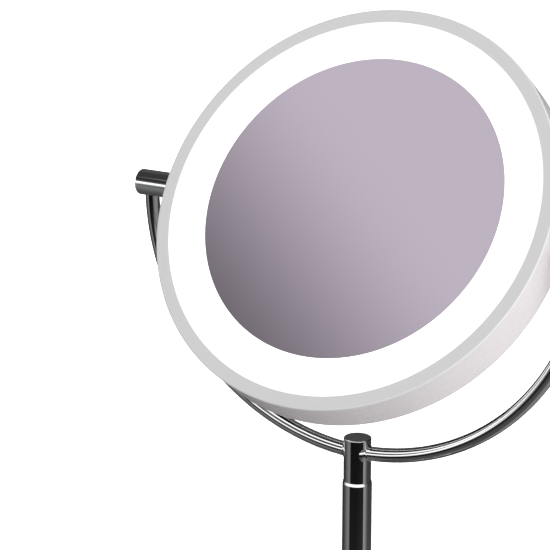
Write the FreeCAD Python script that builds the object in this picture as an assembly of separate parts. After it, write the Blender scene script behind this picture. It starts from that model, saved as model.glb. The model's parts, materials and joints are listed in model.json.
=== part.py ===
import FreeCAD, Part
import math
import os

# Lighted vanity mirror: a round head with a lit mirror on each face, tilting in a chrome
# U-shaped yoke that swivels on a chrome stem above a round weighted base.
# Millimetres. +Z is up, X is the tilt axis, -Y is the front.
# Origin: centre of the base, on the surface that the rubber feet stand on.

# ---------------------------------------------------------------- driving dimensions
PIVOT_HEIGHT = 318.0
TILT_DEG = 35.9
HEAD_RADIUS = 115.0
HEAD_HALF_DEPTH = 13.35
VISIBLE_MIRROR_RADIUS = 86.4
LIGHT_RING_RADIUS = 107.4
GLASS_RADIUS = 88.9
YOKE_RADIUS = 132.2
YOKE_DROP = 2.6
YOKE_TUBE_RADIUS = 4.0
HUB_RADIUS = 7.65
STEM_RADIUS = 8.2
HUB_TOP_BELOW_PIVOT = 126.3
HUB_EXPOSED = 25.0
BASE_RADIUS = 80.0

# ---------------------------------------------------------------- fits
RUNNING = 0.05
BODY_GAP = 0.3
PANEL_GAP = 0.35

# ---------------------------------------------------------------- base
FOOT_HEIGHT = 2.0
FOOT_RADIUS = 6.5
FOOT_CIRCLE = 64.0
FOOT_COUNT = 4
FOOT_FIRST_DEG = 45.0
PLATE_THICKNESS = 1.5
SHEET = 1.5
BASE_TOP = 24.0
BASE_WALL_TOP = 9.5
BASE_SHOULDER_DROP = 2.4
BASE_SHOULDER_RISE = 3.0
SHOULDER_MID_DROP_SHARE = 0.28
SHOULDER_MID_RISE_SHARE = 0.62
BASE_CROWN_RADIUS = 46.0
BASE_CROWN_HEIGHT = 20.0
BASE_FLAT_RADIUS = 14.0
WEIGHT_RADIUS = 69.0
WEIGHT_EDGE_TOP = 10.5
WEIGHT_SHOULDER_TOP = 19.5
WEIGHT_POCKET_WIDTH = 22.0
BUTTON_POCKET_Y = (-70.0, -40.0)
INLET_POCKET_Y = (55.0, 70.0)
BOLT_RADIUS = 4.0
BOLT_CLEARANCE_RADIUS = 4.2
BOLT_HEAD_RADIUS = 7.5
BOLT_HEAD_HEIGHT = 5.3
BOLT_POCKET_RADIUS = 10.0
BOLT_POCKET_TOP = 14.8
STEM_WASHER_RADIUS = 8.5
STEM_WASHER_THICKNESS = 1.6
BASE_SCREW_COUNT = 3
BASE_SCREW_CIRCLE = 50.0
BASE_SCREW_FIRST_DEG = 90.0
BASE_SCREW_RADIUS = 2.0
BASE_SCREW_HEAD_RADIUS = 3.5
BASE_SCREW_LENGTH = 8.0

# ---------------------------------------------------------------- stem and swivel
STEM_WALL = 0.5
STEM_BEVEL_INSET = 0.4
STEM_BEVEL_HEIGHT = 1.6
PLUG_LENGTH = 20.0
PLUG_THREAD_DEPTH = 16.0
BOLT_REACH = 14.0
COLLAR_RADIUS = 12.4
COLLAR_HEIGHT = 5.0
COLLAR_FILLET = 2.0
HUB_ENGAGEMENT = 40.0
HUB_CHAMFER = 0.7
BUSH_LENGTH = 8.0
SWIVEL_SCREW_RADIUS = 3.0
SWIVEL_SCREW_REACH = 12.0
SWIVEL_HEAD_RADIUS = 5.5
SWIVEL_HEAD_HEIGHT = 4.0
SWIVEL_WASHER_RADIUS = 6.5
SWIVEL_WASHER_THICKNESS = 1.3
RING_SECTION_RADIUS = 0.73
RING_BELOW_STEM_TOP = 15.0

# ---------------------------------------------------------------- yoke and pivots
YOKE_TUBE_WALL = 1.0
BARREL_RADIUS = 7.25
BARREL_INNER_END = 117.0
BARREL_OUTER_END = 137.4
BARREL_WEB = 3.5
BARREL_BORE_RADIUS = 5.75
CAP_THICKNESS = 2.2
CAP_EDGE = 1.0
CAP_SPIGOT = 0.9
STUD_RADIUS = 2.5
WIRE_HOLE_RADIUS = 1.2
STUD_HEAD_RADIUS = 3.6
STUD_HEAD_THICKNESS = 3.0
STUD_END = 127.6
WASHER_RADIUS = 6.0
WASHER_THICKNESS = 1.6
SPRING_RADIUS = 5.4
SPRING_THICKNESS = 2.0
NUT_RADIUS = 4.6
NUT_THICKNESS = 4.0

# ---------------------------------------------------------------- head
# Depths are measured from the tilt axis, positive towards the front face.
WALL = 2.2
REAR_EDGE_ROUND = 2.35
FRONT_EDGE_ROUND = 0.8
BEZEL_SEAT = 11.0
BEZEL_LIP = 1.4
SKIRT_INNER_RADIUS = 110.6
SKIRT_DEPTH = 4.0
DIFFUSER_BACK = 10.95
DIFFUSER_FRONT = 12.95
DIFFUSER_LIP = 1.0
DIFFUSER_FLANGE = 2.0
GLASS_THICKNESS = 3.0
PAD_THICKNESS = 0.5
PAD_RADIUS = 80.0
BACKING_THICKNESS = 1.5
MAGNIFIER_THICKNESS = 2.5
MAGNIFIER_CURVE_RADIUS = 1000.0
CARRIER_BACK = 3.9
CARRIER_THICKNESS = 1.6
CARRIER_RADIUS = 112.3
REFLECTOR_WALL = 1.5
GLASS_SIDE_GAP = 0.5
OUTER_REFLECTOR_RADIUS = 107.4
SUPPORT_RING_RADII = (20.0, 50.0, 78.0)
MAGNIFIER_SEAT_WIDTH = 2.2
LED_BOARD_THICKNESS = 1.2
LED_COUNT = 36
LED_SIZE = (3.5, 2.8, 0.8)
POST_COUNT = 6
POST_CIRCLE = 72.0
POST_FIRST_DEG = 30.0
POST_RADIUS = 3.5
CARRIER_SCREW_RADIUS = 1.5
CARRIER_SCREW_HEAD_RADIUS = 2.7
CARRIER_SCREW_HEAD_HEIGHT = 1.5
CARRIER_SCREW_REACH = 2.5
BRACKET_X = (104.0, 112.0)
BRACKET_HALF_WIDTH = 8.0
BRACKET_FRONT = 3.7
BRACKET_SCREW_X = 109.8
BRACKET_SCREW_Y = 5.0
BRACKET_SCREW_RADIUS = 1.2
BRACKET_SCREW_HEAD_RADIUS = 2.0
BRACKET_SCREW_HEAD_HEIGHT = 1.3
BRACKET_SCREW_REACH = 2.0

# ---------------------------------------------------------------- head: driver board
BOARD_Y = -36.0
BOARD_BACK = -1.0
BOARD_SIZE = (44.0, 24.0, 1.6)
BOARD_POST_X = 18.0
BOARD_POST_RADIUS = 2.5
BOARD_SCREW_RADIUS = 1.1
BOARD_SCREW_HEAD_RADIUS = 2.2
BOARD_SCREW_HEAD_HEIGHT = 1.2
BOARD_SCREW_LENGTH = 5.5
DRIVER_PARTS = ((-8.0, 2.0, 3.6, 2.2), (2.0, -3.0, 3.0, 1.8), (8.0, 4.0, 2.4, 2.4))

# ---------------------------------------------------------------- base: button, switch and power inlet
BUTTON_Y = -52.0
BUTTON_RADIUS = 5.5
BUTTON_TOP = 21.4
BUTTON_FLANGE_RADIUS = 7.5
BUTTON_FLANGE = (14.0, 15.2)
BUTTON_DISH_RADIUS = 20.0
BUTTON_DISH_DEPTH = 0.5
SMALL_BOARD_THICKNESS = 1.5
SWITCH_BOARD_SIZE = (20.0, 16.0)
SWITCH_SIDE = 12.0
SWITCH_TOP = 12.5
INLET_BOARD_SIZE = (16.0, 10.0)
INLET_BOARD_Y = 64.0
INLET_SIZE = (9.2, 13.0, 3.4)
INLET_MOUTH_Y = 79.5
INLET_CAVITY = (8.2, 6.0, 2.4)
INLET_TONGUE = (6.2, 5.0, 0.6)
INLET_SLOT_GAP = 0.4

# ---------------------------------------------------------------- worked out
STEM_TOP = PIVOT_HEIGHT - HUB_TOP_BELOW_PIVOT - HUB_EXPOSED
HUB_BOTTOM = STEM_TOP - HUB_ENGAGEMENT + RUNNING
BUSH_TOP = STEM_TOP - HUB_ENGAGEMENT
BUSH_BOTTOM = BUSH_TOP - BUSH_LENGTH
STEM_BORE = STEM_RADIUS - STEM_WALL
INSIDE_RADIUS = HEAD_RADIUS - WALL
PLATE_TOP = FOOT_HEIGHT + PLATE_THICKNESS
SMALL_BOARD_TOP = PLATE_TOP + SMALL_BOARD_THICKNESS
CARRIER_FRONT = CARRIER_BACK + CARRIER_THICKNESS
GLASS_FRONT = DIFFUSER_FRONT - DIFFUSER_LIP
GLASS_BACK = GLASS_FRONT - GLASS_THICKNESS
PAD_BACK = GLASS_BACK - PAD_THICKNESS
BACKING_BACK = PAD_BACK - BACKING_THICKNESS
INNER_REFLECTOR_RADIUS = GLASS_RADIUS + GLASS_SIDE_GAP
LED_BOARD_INNER = INNER_REFLECTOR_RADIUS + REFLECTOR_WALL + BODY_GAP
LED_BOARD_OUTER = OUTER_REFLECTOR_RADIUS - REFLECTOR_WALL - BODY_GAP
LED_CIRCLE = (LED_BOARD_INNER + LED_BOARD_OUTER) / 2
FULL_TURN = 360.0
HALF_TURN = 180.0
RIGHT_ANGLE = 90.0
HEXAGON_SIDES = 6
ROUND_INSET_SHARE = 1 - math.sqrt(0.5)
SIDES = {"left": -1, "right": 1}
X_AXIS = FreeCAD.Vector(1, 0, 0)
Y_AXIS = FreeCAD.Vector(0, 1, 0)
Z_AXIS = FreeCAD.Vector(0, 0, 1)
ORIGIN = FreeCAD.Vector(0, 0, 0)


# ---------------------------------------------------------------- helpers
def point(radius, height):
    return FreeCAD.Vector(radius, 0, height)


def spin(edges):
    """Solid of revolution about Z of a closed outline drawn in the XZ plane."""
    face = Part.Face(Part.Wire(edges))
    return face.revolve(ORIGIN, Z_AXIS, FULL_TURN)


def outline(*corners):
    """Edges of a closed outline; a corner given as a triple of points is an arc through them."""
    edges = []
    first = None
    here = None
    for corner in corners:
        start = corner[0] if isinstance(corner, tuple) else corner
        first = first or start
        if here is not None and here.distanceToPoint(start) > 0:
            edges.append(Part.makeLine(here, start))
        here = start
        if isinstance(corner, tuple):
            edges.append(Part.Arc(*corner).toShape())
            here = corner[2]
    edges.append(Part.makeLine(here, first))
    return edges


def disc(radius, bottom, top):
    return Part.makeCylinder(radius, top - bottom, point(0, bottom))


def ring(inner, outer, bottom, top):
    return disc(outer, bottom, top).cut(disc(inner, bottom, top))


def block(size, centre, bottom, height):
    corner = FreeCAD.Vector(centre[0] - size[0] / 2, centre[1] - size[1] / 2, bottom)
    return Part.makeBox(size[0], size[1], height, corner)


def hexagon(radius, bottom, top):
    corners = []
    for step in range(HEXAGON_SIDES + 1):
        angle = math.radians(FULL_TURN * step / HEXAGON_SIDES)
        corners.append(FreeCAD.Vector(radius * math.cos(angle), radius * math.sin(angle), bottom))
    return Part.Face(Part.makePolygon(corners)).extrude(Z_AXIS * (top - bottom))


def moved(shape, x=0.0, y=0.0, z=0.0):
    copy = shape.copy()
    copy.translate(FreeCAD.Vector(x, y, z))
    return copy


def on_circle(shape, radius, count, first_deg):
    """Separate copies of one solid, evenly spaced on a circle about Z."""
    copies = []
    for step in range(count):
        copy = moved(shape, x=radius)
        copy.rotate(ORIGIN, Z_AXIS, first_deg + FULL_TURN * step / count)
        copies.append(copy)
    return copies


def sideways(shape, side):
    """Lay a solid built along +Z along the tilt axis, pointing to one side, at the head's height zero."""
    copy = shape.copy()
    copy.rotate(ORIGIN, Y_AXIS, RIGHT_ANGLE * side)
    return copy


def at_pivot(shape):
    return moved(shape, z=PIVOT_HEIGHT)


def in_head(shape):
    """Head pieces are built facing +Z, then leaned back to their rest tilt and lifted to the pivot."""
    copy = shape.copy()
    copy.rotate(ORIGIN, X_AXIS, RIGHT_ANGLE - TILT_DEG)
    return at_pivot(copy)


def turned_over(shape):
    """Head pieces for the rear face: the front ones, turned half a turn about the tilt axis."""
    copy = shape.copy()
    copy.rotate(ORIGIN, X_AXIS, HALF_TURN)
    return copy


def group(solids):
    return Part.makeCompound(solids)


def countersunk(radius, head_radius, head_depth, length):
    """Screw with its flat head at zero, pointing up +Z."""
    return spin(outline(
        point(0, 0),
        point(head_radius, 0),
        point(radius, head_depth),
        point(radius, length),
        point(0, length),
    ))


def save(name, shape):
    shape.exportStep("parts/" + name + ".step")


# ---------------------------------------------------------------- base
def base_shell():
    wall_top = point(BASE_RADIUS, BASE_WALL_TOP)
    shoulder = point(BASE_RADIUS - BASE_SHOULDER_DROP, BASE_WALL_TOP + BASE_SHOULDER_RISE)
    shoulder_mid = point(
        BASE_RADIUS - BASE_SHOULDER_DROP * SHOULDER_MID_DROP_SHARE,
        BASE_WALL_TOP + BASE_SHOULDER_RISE * SHOULDER_MID_RISE_SHARE,
    )
    crown = point(BASE_CROWN_RADIUS, BASE_CROWN_HEIGHT)
    flat = point(BASE_FLAT_RADIUS, BASE_TOP)
    inner_flat = point(BASE_FLAT_RADIUS, BASE_TOP - SHEET)
    inner_crown = point(BASE_CROWN_RADIUS, BASE_CROWN_HEIGHT - SHEET)
    inner_shoulder = point(BASE_RADIUS - SHEET, BASE_WALL_TOP)
    shell = spin(outline(
        point(BASE_RADIUS, FOOT_HEIGHT),
        (wall_top, shoulder_mid, shoulder),
        (shoulder, crown, flat),
        point(BOLT_CLEARANCE_RADIUS, BASE_TOP),
        point(BOLT_CLEARANCE_RADIUS, BASE_TOP - SHEET),
        (inner_flat, inner_crown, inner_shoulder),
        point(BASE_RADIUS - SHEET, FOOT_HEIGHT),
    ))
    shell = shell.cut(moved(disc(BUTTON_RADIUS + PANEL_GAP, FOOT_HEIGHT, BASE_TOP), y=BUTTON_Y))
    slot = (INLET_SIZE[0] + 2 * INLET_SLOT_GAP, INLET_SIZE[1])
    slot_height = INLET_SIZE[2] + 2 * INLET_SLOT_GAP
    return shell.cut(block(slot, (0, BASE_RADIUS), SMALL_BOARD_TOP - INLET_SLOT_GAP, slot_height))


def base_screws():
    screw = countersunk(BASE_SCREW_RADIUS, BASE_SCREW_HEAD_RADIUS, PLATE_THICKNESS, BASE_SCREW_LENGTH)
    screw = moved(screw, z=FOOT_HEIGHT)
    return group(on_circle(screw, BASE_SCREW_CIRCLE, BASE_SCREW_COUNT, BASE_SCREW_FIRST_DEG))


def base_weight():
    body = spin(outline(
        point(BOLT_CLEARANCE_RADIUS, BOLT_POCKET_TOP),
        point(BOLT_POCKET_RADIUS, BOLT_POCKET_TOP),
        point(BOLT_POCKET_RADIUS, PLATE_TOP),
        point(WEIGHT_RADIUS, PLATE_TOP),
        point(WEIGHT_RADIUS, WEIGHT_EDGE_TOP),
        point(BASE_FLAT_RADIUS, WEIGHT_SHOULDER_TOP),
        point(BASE_FLAT_RADIUS, BASE_TOP - SHEET),
        point(BOLT_CLEARANCE_RADIUS, BASE_TOP - SHEET),
    ))
    for near, far in (BUTTON_POCKET_Y, INLET_POCKET_Y):
        size = (WEIGHT_POCKET_WIDTH, far - near)
        body = body.cut(block(size, (0, (near + far) / 2), PLATE_TOP, BASE_TOP))
    return body.cut(base_screws())


def base_plate():
    plate = disc(BASE_RADIUS - SHEET - BODY_GAP, FOOT_HEIGHT, PLATE_TOP)
    return plate.cut(base_screws())


def rubber_feet():
    foot = disc(FOOT_RADIUS, 0, FOOT_HEIGHT)
    return group(on_circle(foot, FOOT_CIRCLE, FOOT_COUNT, FOOT_FIRST_DEG))


def stem_bolt():
    head_top = BOLT_POCKET_TOP - STEM_WASHER_THICKNESS
    head = hexagon(BOLT_HEAD_RADIUS, head_top - BOLT_HEAD_HEIGHT, head_top)
    return head.fuse(disc(BOLT_RADIUS, head_top, BASE_TOP + BOLT_REACH))


def stem_washer():
    bottom = BOLT_POCKET_TOP - STEM_WASHER_THICKNESS
    return ring(BOLT_CLEARANCE_RADIUS, STEM_WASHER_RADIUS, bottom, BOLT_POCKET_TOP)


def stem_plug():
    plug = disc(STEM_BORE, BASE_TOP, BASE_TOP + PLUG_LENGTH)
    return plug.cut(disc(BOLT_RADIUS, BASE_TOP, BASE_TOP + PLUG_THREAD_DEPTH))


def stem_tube():
    return spin(outline(
        point(STEM_BORE, BASE_TOP),
        point(STEM_RADIUS, BASE_TOP),
        point(STEM_RADIUS, STEM_TOP - STEM_BEVEL_HEIGHT),
        point(STEM_RADIUS - STEM_BEVEL_INSET, STEM_TOP),
        point(STEM_BORE, STEM_TOP),
    ))


def stem_collar():
    top = BASE_TOP + COLLAR_HEIGHT
    inset = COLLAR_FILLET * ROUND_INSET_SHARE
    side = point(COLLAR_RADIUS, top - COLLAR_FILLET)
    middle = point(COLLAR_RADIUS - inset, top - inset)
    shoulder = point(COLLAR_RADIUS - COLLAR_FILLET, top)
    return spin(outline(
        point(STEM_RADIUS, BASE_TOP),
        point(COLLAR_RADIUS, BASE_TOP),
        (side, middle, shoulder),
        point(STEM_RADIUS, top),
    ))


def swivel_bush():
    return ring(SWIVEL_SCREW_RADIUS + RUNNING, STEM_BORE, BUSH_BOTTOM, BUSH_TOP)


# ---------------------------------------------------------------- base: button, switch and power inlet
def power_button():
    low, high = BUTTON_FLANGE
    cap = disc(BUTTON_RADIUS, high, BUTTON_TOP).fuse(disc(BUTTON_FLANGE_RADIUS, low, high))
    dish = Part.makeSphere(BUTTON_DISH_RADIUS, point(0, BUTTON_TOP - BUTTON_DISH_DEPTH + BUTTON_DISH_RADIUS))
    return moved(cap.cut(dish), y=BUTTON_Y)


def power_switch():
    return block((SWITCH_SIDE, SWITCH_SIDE), (0, BUTTON_Y), SMALL_BOARD_TOP, SWITCH_TOP - SMALL_BOARD_TOP)


def power_inlet():
    middle = INLET_MOUTH_Y - INLET_SIZE[1] / 2
    body = block(INLET_SIZE, (0, middle), SMALL_BOARD_TOP, INLET_SIZE[2])
    cavity_bottom = SMALL_BOARD_TOP + (INLET_SIZE[2] - INLET_CAVITY[2]) / 2
    cavity_middle = INLET_MOUTH_Y - INLET_CAVITY[1] / 2
    body = body.cut(block(INLET_CAVITY, (0, cavity_middle), cavity_bottom, INLET_CAVITY[2]))
    tongue_bottom = SMALL_BOARD_TOP + (INLET_SIZE[2] - INLET_TONGUE[2]) / 2
    tongue_middle = INLET_MOUTH_Y - INLET_CAVITY[1] + INLET_TONGUE[1] / 2
    return body.fuse(block(INLET_TONGUE, (0, tongue_middle), tongue_bottom, INLET_TONGUE[2]))


# ---------------------------------------------------------------- yoke
def yoke_path_solid(radius):
    """Half ring of round section, open at the top, centred just under the tilt axis."""
    centre = point(0, PIVOT_HEIGHT - YOKE_DROP)
    start = centre + X_AXIS * YOKE_RADIUS
    section = Part.Face(Part.Wire(Part.makeCircle(radius, start, Z_AXIS)))
    return section.revolve(centre, Y_AXIS, HALF_TURN)


def yoke_tube():
    return yoke_path_solid(YOKE_TUBE_RADIUS).cut(yoke_path_solid(YOKE_TUBE_RADIUS - YOKE_TUBE_WALL))


def swivel_ring():
    centre = point(0, STEM_TOP - RING_BELOW_STEM_TOP)
    return Part.makeTorus(HUB_RADIUS - RING_SECTION_RADIUS, RING_SECTION_RADIUS, centre)


def yoke_hub():
    top = PIVOT_HEIGHT - HUB_TOP_BELOW_PIVOT
    body = spin(outline(
        point(0, HUB_BOTTOM),
        point(HUB_RADIUS, HUB_BOTTOM),
        point(HUB_RADIUS, top - HUB_CHAMFER),
        point(HUB_RADIUS - HUB_CHAMFER, top),
        point(0, top),
    ))
    groove_low = STEM_TOP - RING_BELOW_STEM_TOP - RING_SECTION_RADIUS
    groove_high = groove_low + 2 * RING_SECTION_RADIUS
    groove_floor = HUB_RADIUS - 2 * RING_SECTION_RADIUS
    body = body.cut(ring(groove_floor, HUB_RADIUS, groove_low, groove_high))
    body = body.cut(yoke_path_solid(YOKE_TUBE_RADIUS))
    return body.cut(disc(SWIVEL_SCREW_RADIUS, HUB_BOTTOM, HUB_BOTTOM + SWIVEL_SCREW_REACH))


def swivel_washer():
    top = BUSH_BOTTOM - BODY_GAP
    return ring(SWIVEL_SCREW_RADIUS, SWIVEL_WASHER_RADIUS, top - SWIVEL_WASHER_THICKNESS, top)


def swivel_screw():
    head_top = BUSH_BOTTOM - BODY_GAP - SWIVEL_WASHER_THICKNESS
    head = disc(SWIVEL_HEAD_RADIUS, head_top - SWIVEL_HEAD_HEIGHT, head_top)
    return head.fuse(disc(SWIVEL_SCREW_RADIUS, head_top, HUB_BOTTOM + SWIVEL_SCREW_REACH))


def pivot_barrel(side):
    barrel = disc(BARREL_RADIUS, BARREL_INNER_END, BARREL_OUTER_END)
    web_end = BARREL_INNER_END + BARREL_WEB
    barrel = barrel.cut(disc(STUD_RADIUS + RUNNING, BARREL_INNER_END, web_end))
    barrel = barrel.cut(disc(BARREL_BORE_RADIUS, web_end, BARREL_OUTER_END))
    return at_pivot(sideways(barrel, side)).cut(yoke_path_solid(YOKE_TUBE_RADIUS))


def barrel_cap(side):
    outer = BARREL_OUTER_END + CAP_THICKNESS
    inset = CAP_EDGE * ROUND_INSET_SHARE
    cap = spin(outline(
        point(0, BARREL_OUTER_END - CAP_SPIGOT),
        point(BARREL_BORE_RADIUS, BARREL_OUTER_END - CAP_SPIGOT),
        point(BARREL_BORE_RADIUS, BARREL_OUTER_END),
        point(BARREL_RADIUS, BARREL_OUTER_END),
        (
            point(BARREL_RADIUS, outer - CAP_EDGE),
            point(BARREL_RADIUS - inset, outer - inset),
            point(BARREL_RADIUS - CAP_EDGE, outer),
        ),
        point(0, outer),
    ))
    return at_pivot(sideways(cap, side))


def both_sides(shape):
    return group([at_pivot(sideways(shape, side)) for side in SIDES.values()])


def friction_washers():
    inner_end = BARREL_INNER_END - WASHER_THICKNESS
    return both_sides(ring(STUD_RADIUS + RUNNING, WASHER_RADIUS, inner_end, BARREL_INNER_END))


def pivot_springs():
    inner_end = BARREL_INNER_END + BARREL_WEB
    return both_sides(ring(STUD_RADIUS + RUNNING, SPRING_RADIUS, inner_end, inner_end + SPRING_THICKNESS))


# ---------------------------------------------------------------- head: pivot hardware
def pivot_stud(side):
    """Hollow stud: the lamp's leads come up the yoke and through it."""
    head = hexagon(STUD_HEAD_RADIUS, BRACKET_X[0] - STUD_HEAD_THICKNESS, BRACKET_X[0])
    stud = head.fuse(disc(STUD_RADIUS, BRACKET_X[0], STUD_END))
    stud = stud.cut(disc(WIRE_HOLE_RADIUS, BRACKET_X[0] - STUD_HEAD_THICKNESS, STUD_END))
    return at_pivot(sideways(stud, side))


def pivot_nuts():
    inner_end = BARREL_INNER_END + BARREL_WEB + SPRING_THICKNESS + BODY_GAP
    nut = hexagon(NUT_RADIUS, inner_end, inner_end + NUT_THICKNESS)
    return both_sides(nut.cut(disc(STUD_RADIUS, inner_end, inner_end + NUT_THICKNESS)))


def bracket_screw_solids():
    rear_face = -CARRIER_FRONT
    head = disc(BRACKET_SCREW_HEAD_RADIUS, rear_face - BRACKET_SCREW_HEAD_HEIGHT, rear_face)
    screw = head.fuse(disc(BRACKET_SCREW_RADIUS, rear_face, BRACKET_SCREW_REACH))
    solids = []
    for side in SIDES.values():
        for across in (-BRACKET_SCREW_Y, BRACKET_SCREW_Y):
            solids.append(moved(screw, x=side * BRACKET_SCREW_X, y=across))
    return group(solids)


def stud_line():
    """The two studs' shanks, along the tilt axis in the head's own frame."""
    shank = disc(STUD_RADIUS, BRACKET_X[0], STUD_END)
    return group([sideways(shank, side) for side in SIDES.values()])


def pivot_bracket(side):
    middle = side * (BRACKET_X[0] + BRACKET_X[1]) / 2
    size = (BRACKET_X[1] - BRACKET_X[0], 2 * BRACKET_HALF_WIDTH)
    body = block(size, (middle, 0), -CARRIER_BACK, BRACKET_FRONT + CARRIER_BACK)
    return in_head(body.cut(stud_line()).cut(bracket_screw_solids()))


# ---------------------------------------------------------------- head: case and light
def side_case():
    return in_head(ring(INSIDE_RADIUS, HEAD_RADIUS, -BEZEL_SEAT, BEZEL_SEAT).cut(stud_line()))


def bezel(edge_round):
    front = HEAD_HALF_DEPTH
    inset = edge_round * ROUND_INSET_SHARE
    flange_side = LIGHT_RING_RADIUS + DIFFUSER_FLANGE + RUNNING
    return spin(outline(
        point(LIGHT_RING_RADIUS, front - BEZEL_LIP),
        point(LIGHT_RING_RADIUS, front),
        (
            point(HEAD_RADIUS - edge_round, front),
            point(HEAD_RADIUS - inset, front - inset),
            point(HEAD_RADIUS, front - edge_round),
        ),
        point(HEAD_RADIUS, BEZEL_SEAT),
        point(INSIDE_RADIUS, BEZEL_SEAT),
        point(INSIDE_RADIUS, BEZEL_SEAT - SKIRT_DEPTH),
        point(SKIRT_INNER_RADIUS, BEZEL_SEAT - SKIRT_DEPTH),
        point(SKIRT_INNER_RADIUS, DIFFUSER_BACK),
        point(flange_side, DIFFUSER_BACK),
        point(flange_side, front - BEZEL_LIP),
    ))


def diffuser():
    return spin(outline(
        point(VISIBLE_MIRROR_RADIUS, GLASS_FRONT),
        point(VISIBLE_MIRROR_RADIUS, DIFFUSER_FRONT),
        point(LIGHT_RING_RADIUS, DIFFUSER_FRONT),
        point(LIGHT_RING_RADIUS, GLASS_FRONT),
        point(LIGHT_RING_RADIUS + DIFFUSER_FLANGE, GLASS_FRONT),
        point(LIGHT_RING_RADIUS + DIFFUSER_FLANGE, DIFFUSER_BACK),
        point(INNER_REFLECTOR_RADIUS, DIFFUSER_BACK),
        point(INNER_REFLECTOR_RADIUS, GLASS_FRONT),
    ))


def carrier_trough():
    """Plate and the two reflector walls that hold the LED board, the same for both faces."""
    trough = disc(CARRIER_RADIUS, CARRIER_BACK, CARRIER_FRONT)
    inner_wall_outside = INNER_REFLECTOR_RADIUS + REFLECTOR_WALL
    outer_wall_inside = OUTER_REFLECTOR_RADIUS - REFLECTOR_WALL
    trough = trough.fuse(ring(INNER_REFLECTOR_RADIUS, inner_wall_outside, CARRIER_FRONT, DIFFUSER_BACK))
    return trough.fuse(ring(outer_wall_inside, OUTER_REFLECTOR_RADIUS, CARRIER_FRONT, DIFFUSER_BACK))


def carrier_screw_solids():
    rear_face = -CARRIER_FRONT
    head = disc(CARRIER_SCREW_HEAD_RADIUS, rear_face - CARRIER_SCREW_HEAD_HEIGHT, rear_face)
    screw = head.fuse(disc(CARRIER_SCREW_RADIUS, rear_face, CARRIER_SCREW_REACH))
    return group(on_circle(screw, POST_CIRCLE, POST_COUNT, POST_FIRST_DEG))


def board_screw_solids():
    top = BOARD_BACK + BOARD_SIZE[2]
    head = disc(BOARD_SCREW_HEAD_RADIUS, top, top + BOARD_SCREW_HEAD_HEIGHT)
    screw = head.fuse(disc(BOARD_SCREW_RADIUS, top - BOARD_SCREW_LENGTH, top))
    return group([moved(screw, side * BOARD_POST_X, BOARD_Y) for side in SIDES.values()])


def front_carrier():
    carrier = carrier_trough()
    for radius in SUPPORT_RING_RADII:
        carrier = carrier.fuse(ring(radius, radius + REFLECTOR_WALL, CARRIER_FRONT, BACKING_BACK))
    post = disc(POST_RADIUS, -CARRIER_BACK, CARRIER_BACK)
    for copy in on_circle(post, POST_CIRCLE, POST_COUNT, POST_FIRST_DEG):
        carrier = carrier.fuse(copy)
    return in_head(carrier.cut(carrier_screw_solids()))


def rear_carrier():
    seat_top = GLASS_FRONT - MAGNIFIER_THICKNESS
    seat = ring(GLASS_RADIUS - MAGNIFIER_SEAT_WIDTH, GLASS_RADIUS, CARRIER_FRONT, seat_top)
    carrier = turned_over(carrier_trough().fuse(seat))
    for side in SIDES.values():
        post = disc(BOARD_POST_RADIUS, -CARRIER_BACK, BOARD_BACK)
        carrier = carrier.fuse(moved(post, side * BOARD_POST_X, BOARD_Y))
    carrier = carrier.cut(carrier_screw_solids())
    carrier = carrier.cut(bracket_screw_solids())
    return in_head(carrier.cut(board_screw_solids()))


def magnifying_glass():
    """Concave glass of even thickness with a flat rim that sits under the rear diffuser's lip."""
    edge = VISIBLE_MIRROR_RADIUS
    sag = MAGNIFIER_CURVE_RADIUS - math.sqrt(MAGNIFIER_CURVE_RADIUS ** 2 - edge ** 2)
    half_sag = MAGNIFIER_CURVE_RADIUS - math.sqrt(MAGNIFIER_CURVE_RADIUS ** 2 - (edge / 2) ** 2)
    face = GLASS_FRONT
    inner = GLASS_FRONT - MAGNIFIER_THICKNESS
    return turned_over(spin(outline(
        (point(edge, face), point(edge / 2, face - sag + half_sag), point(0, face - sag)),
        (point(0, inner - sag), point(edge / 2, inner - sag + half_sag), point(edge, inner)),
        point(GLASS_RADIUS, inner),
        point(GLASS_RADIUS, face),
    )))


def leds():
    led = block(LED_SIZE, (0, 0), CARRIER_FRONT + LED_BOARD_THICKNESS, LED_SIZE[2])
    return group(on_circle(led, LED_CIRCLE, LED_COUNT, 0))


def driver_board():
    board = block(BOARD_SIZE, (0, BOARD_Y), BOARD_BACK, BOARD_SIZE[2])
    return in_head(board.cut(board_screw_solids()))


def driver_parts():
    top = BOARD_BACK + BOARD_SIZE[2]
    solids = []
    for across, along, radius, height in DRIVER_PARTS:
        solids.append(moved(disc(radius, top, top + height), across, BOARD_Y + along))
    return in_head(group(solids))


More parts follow.
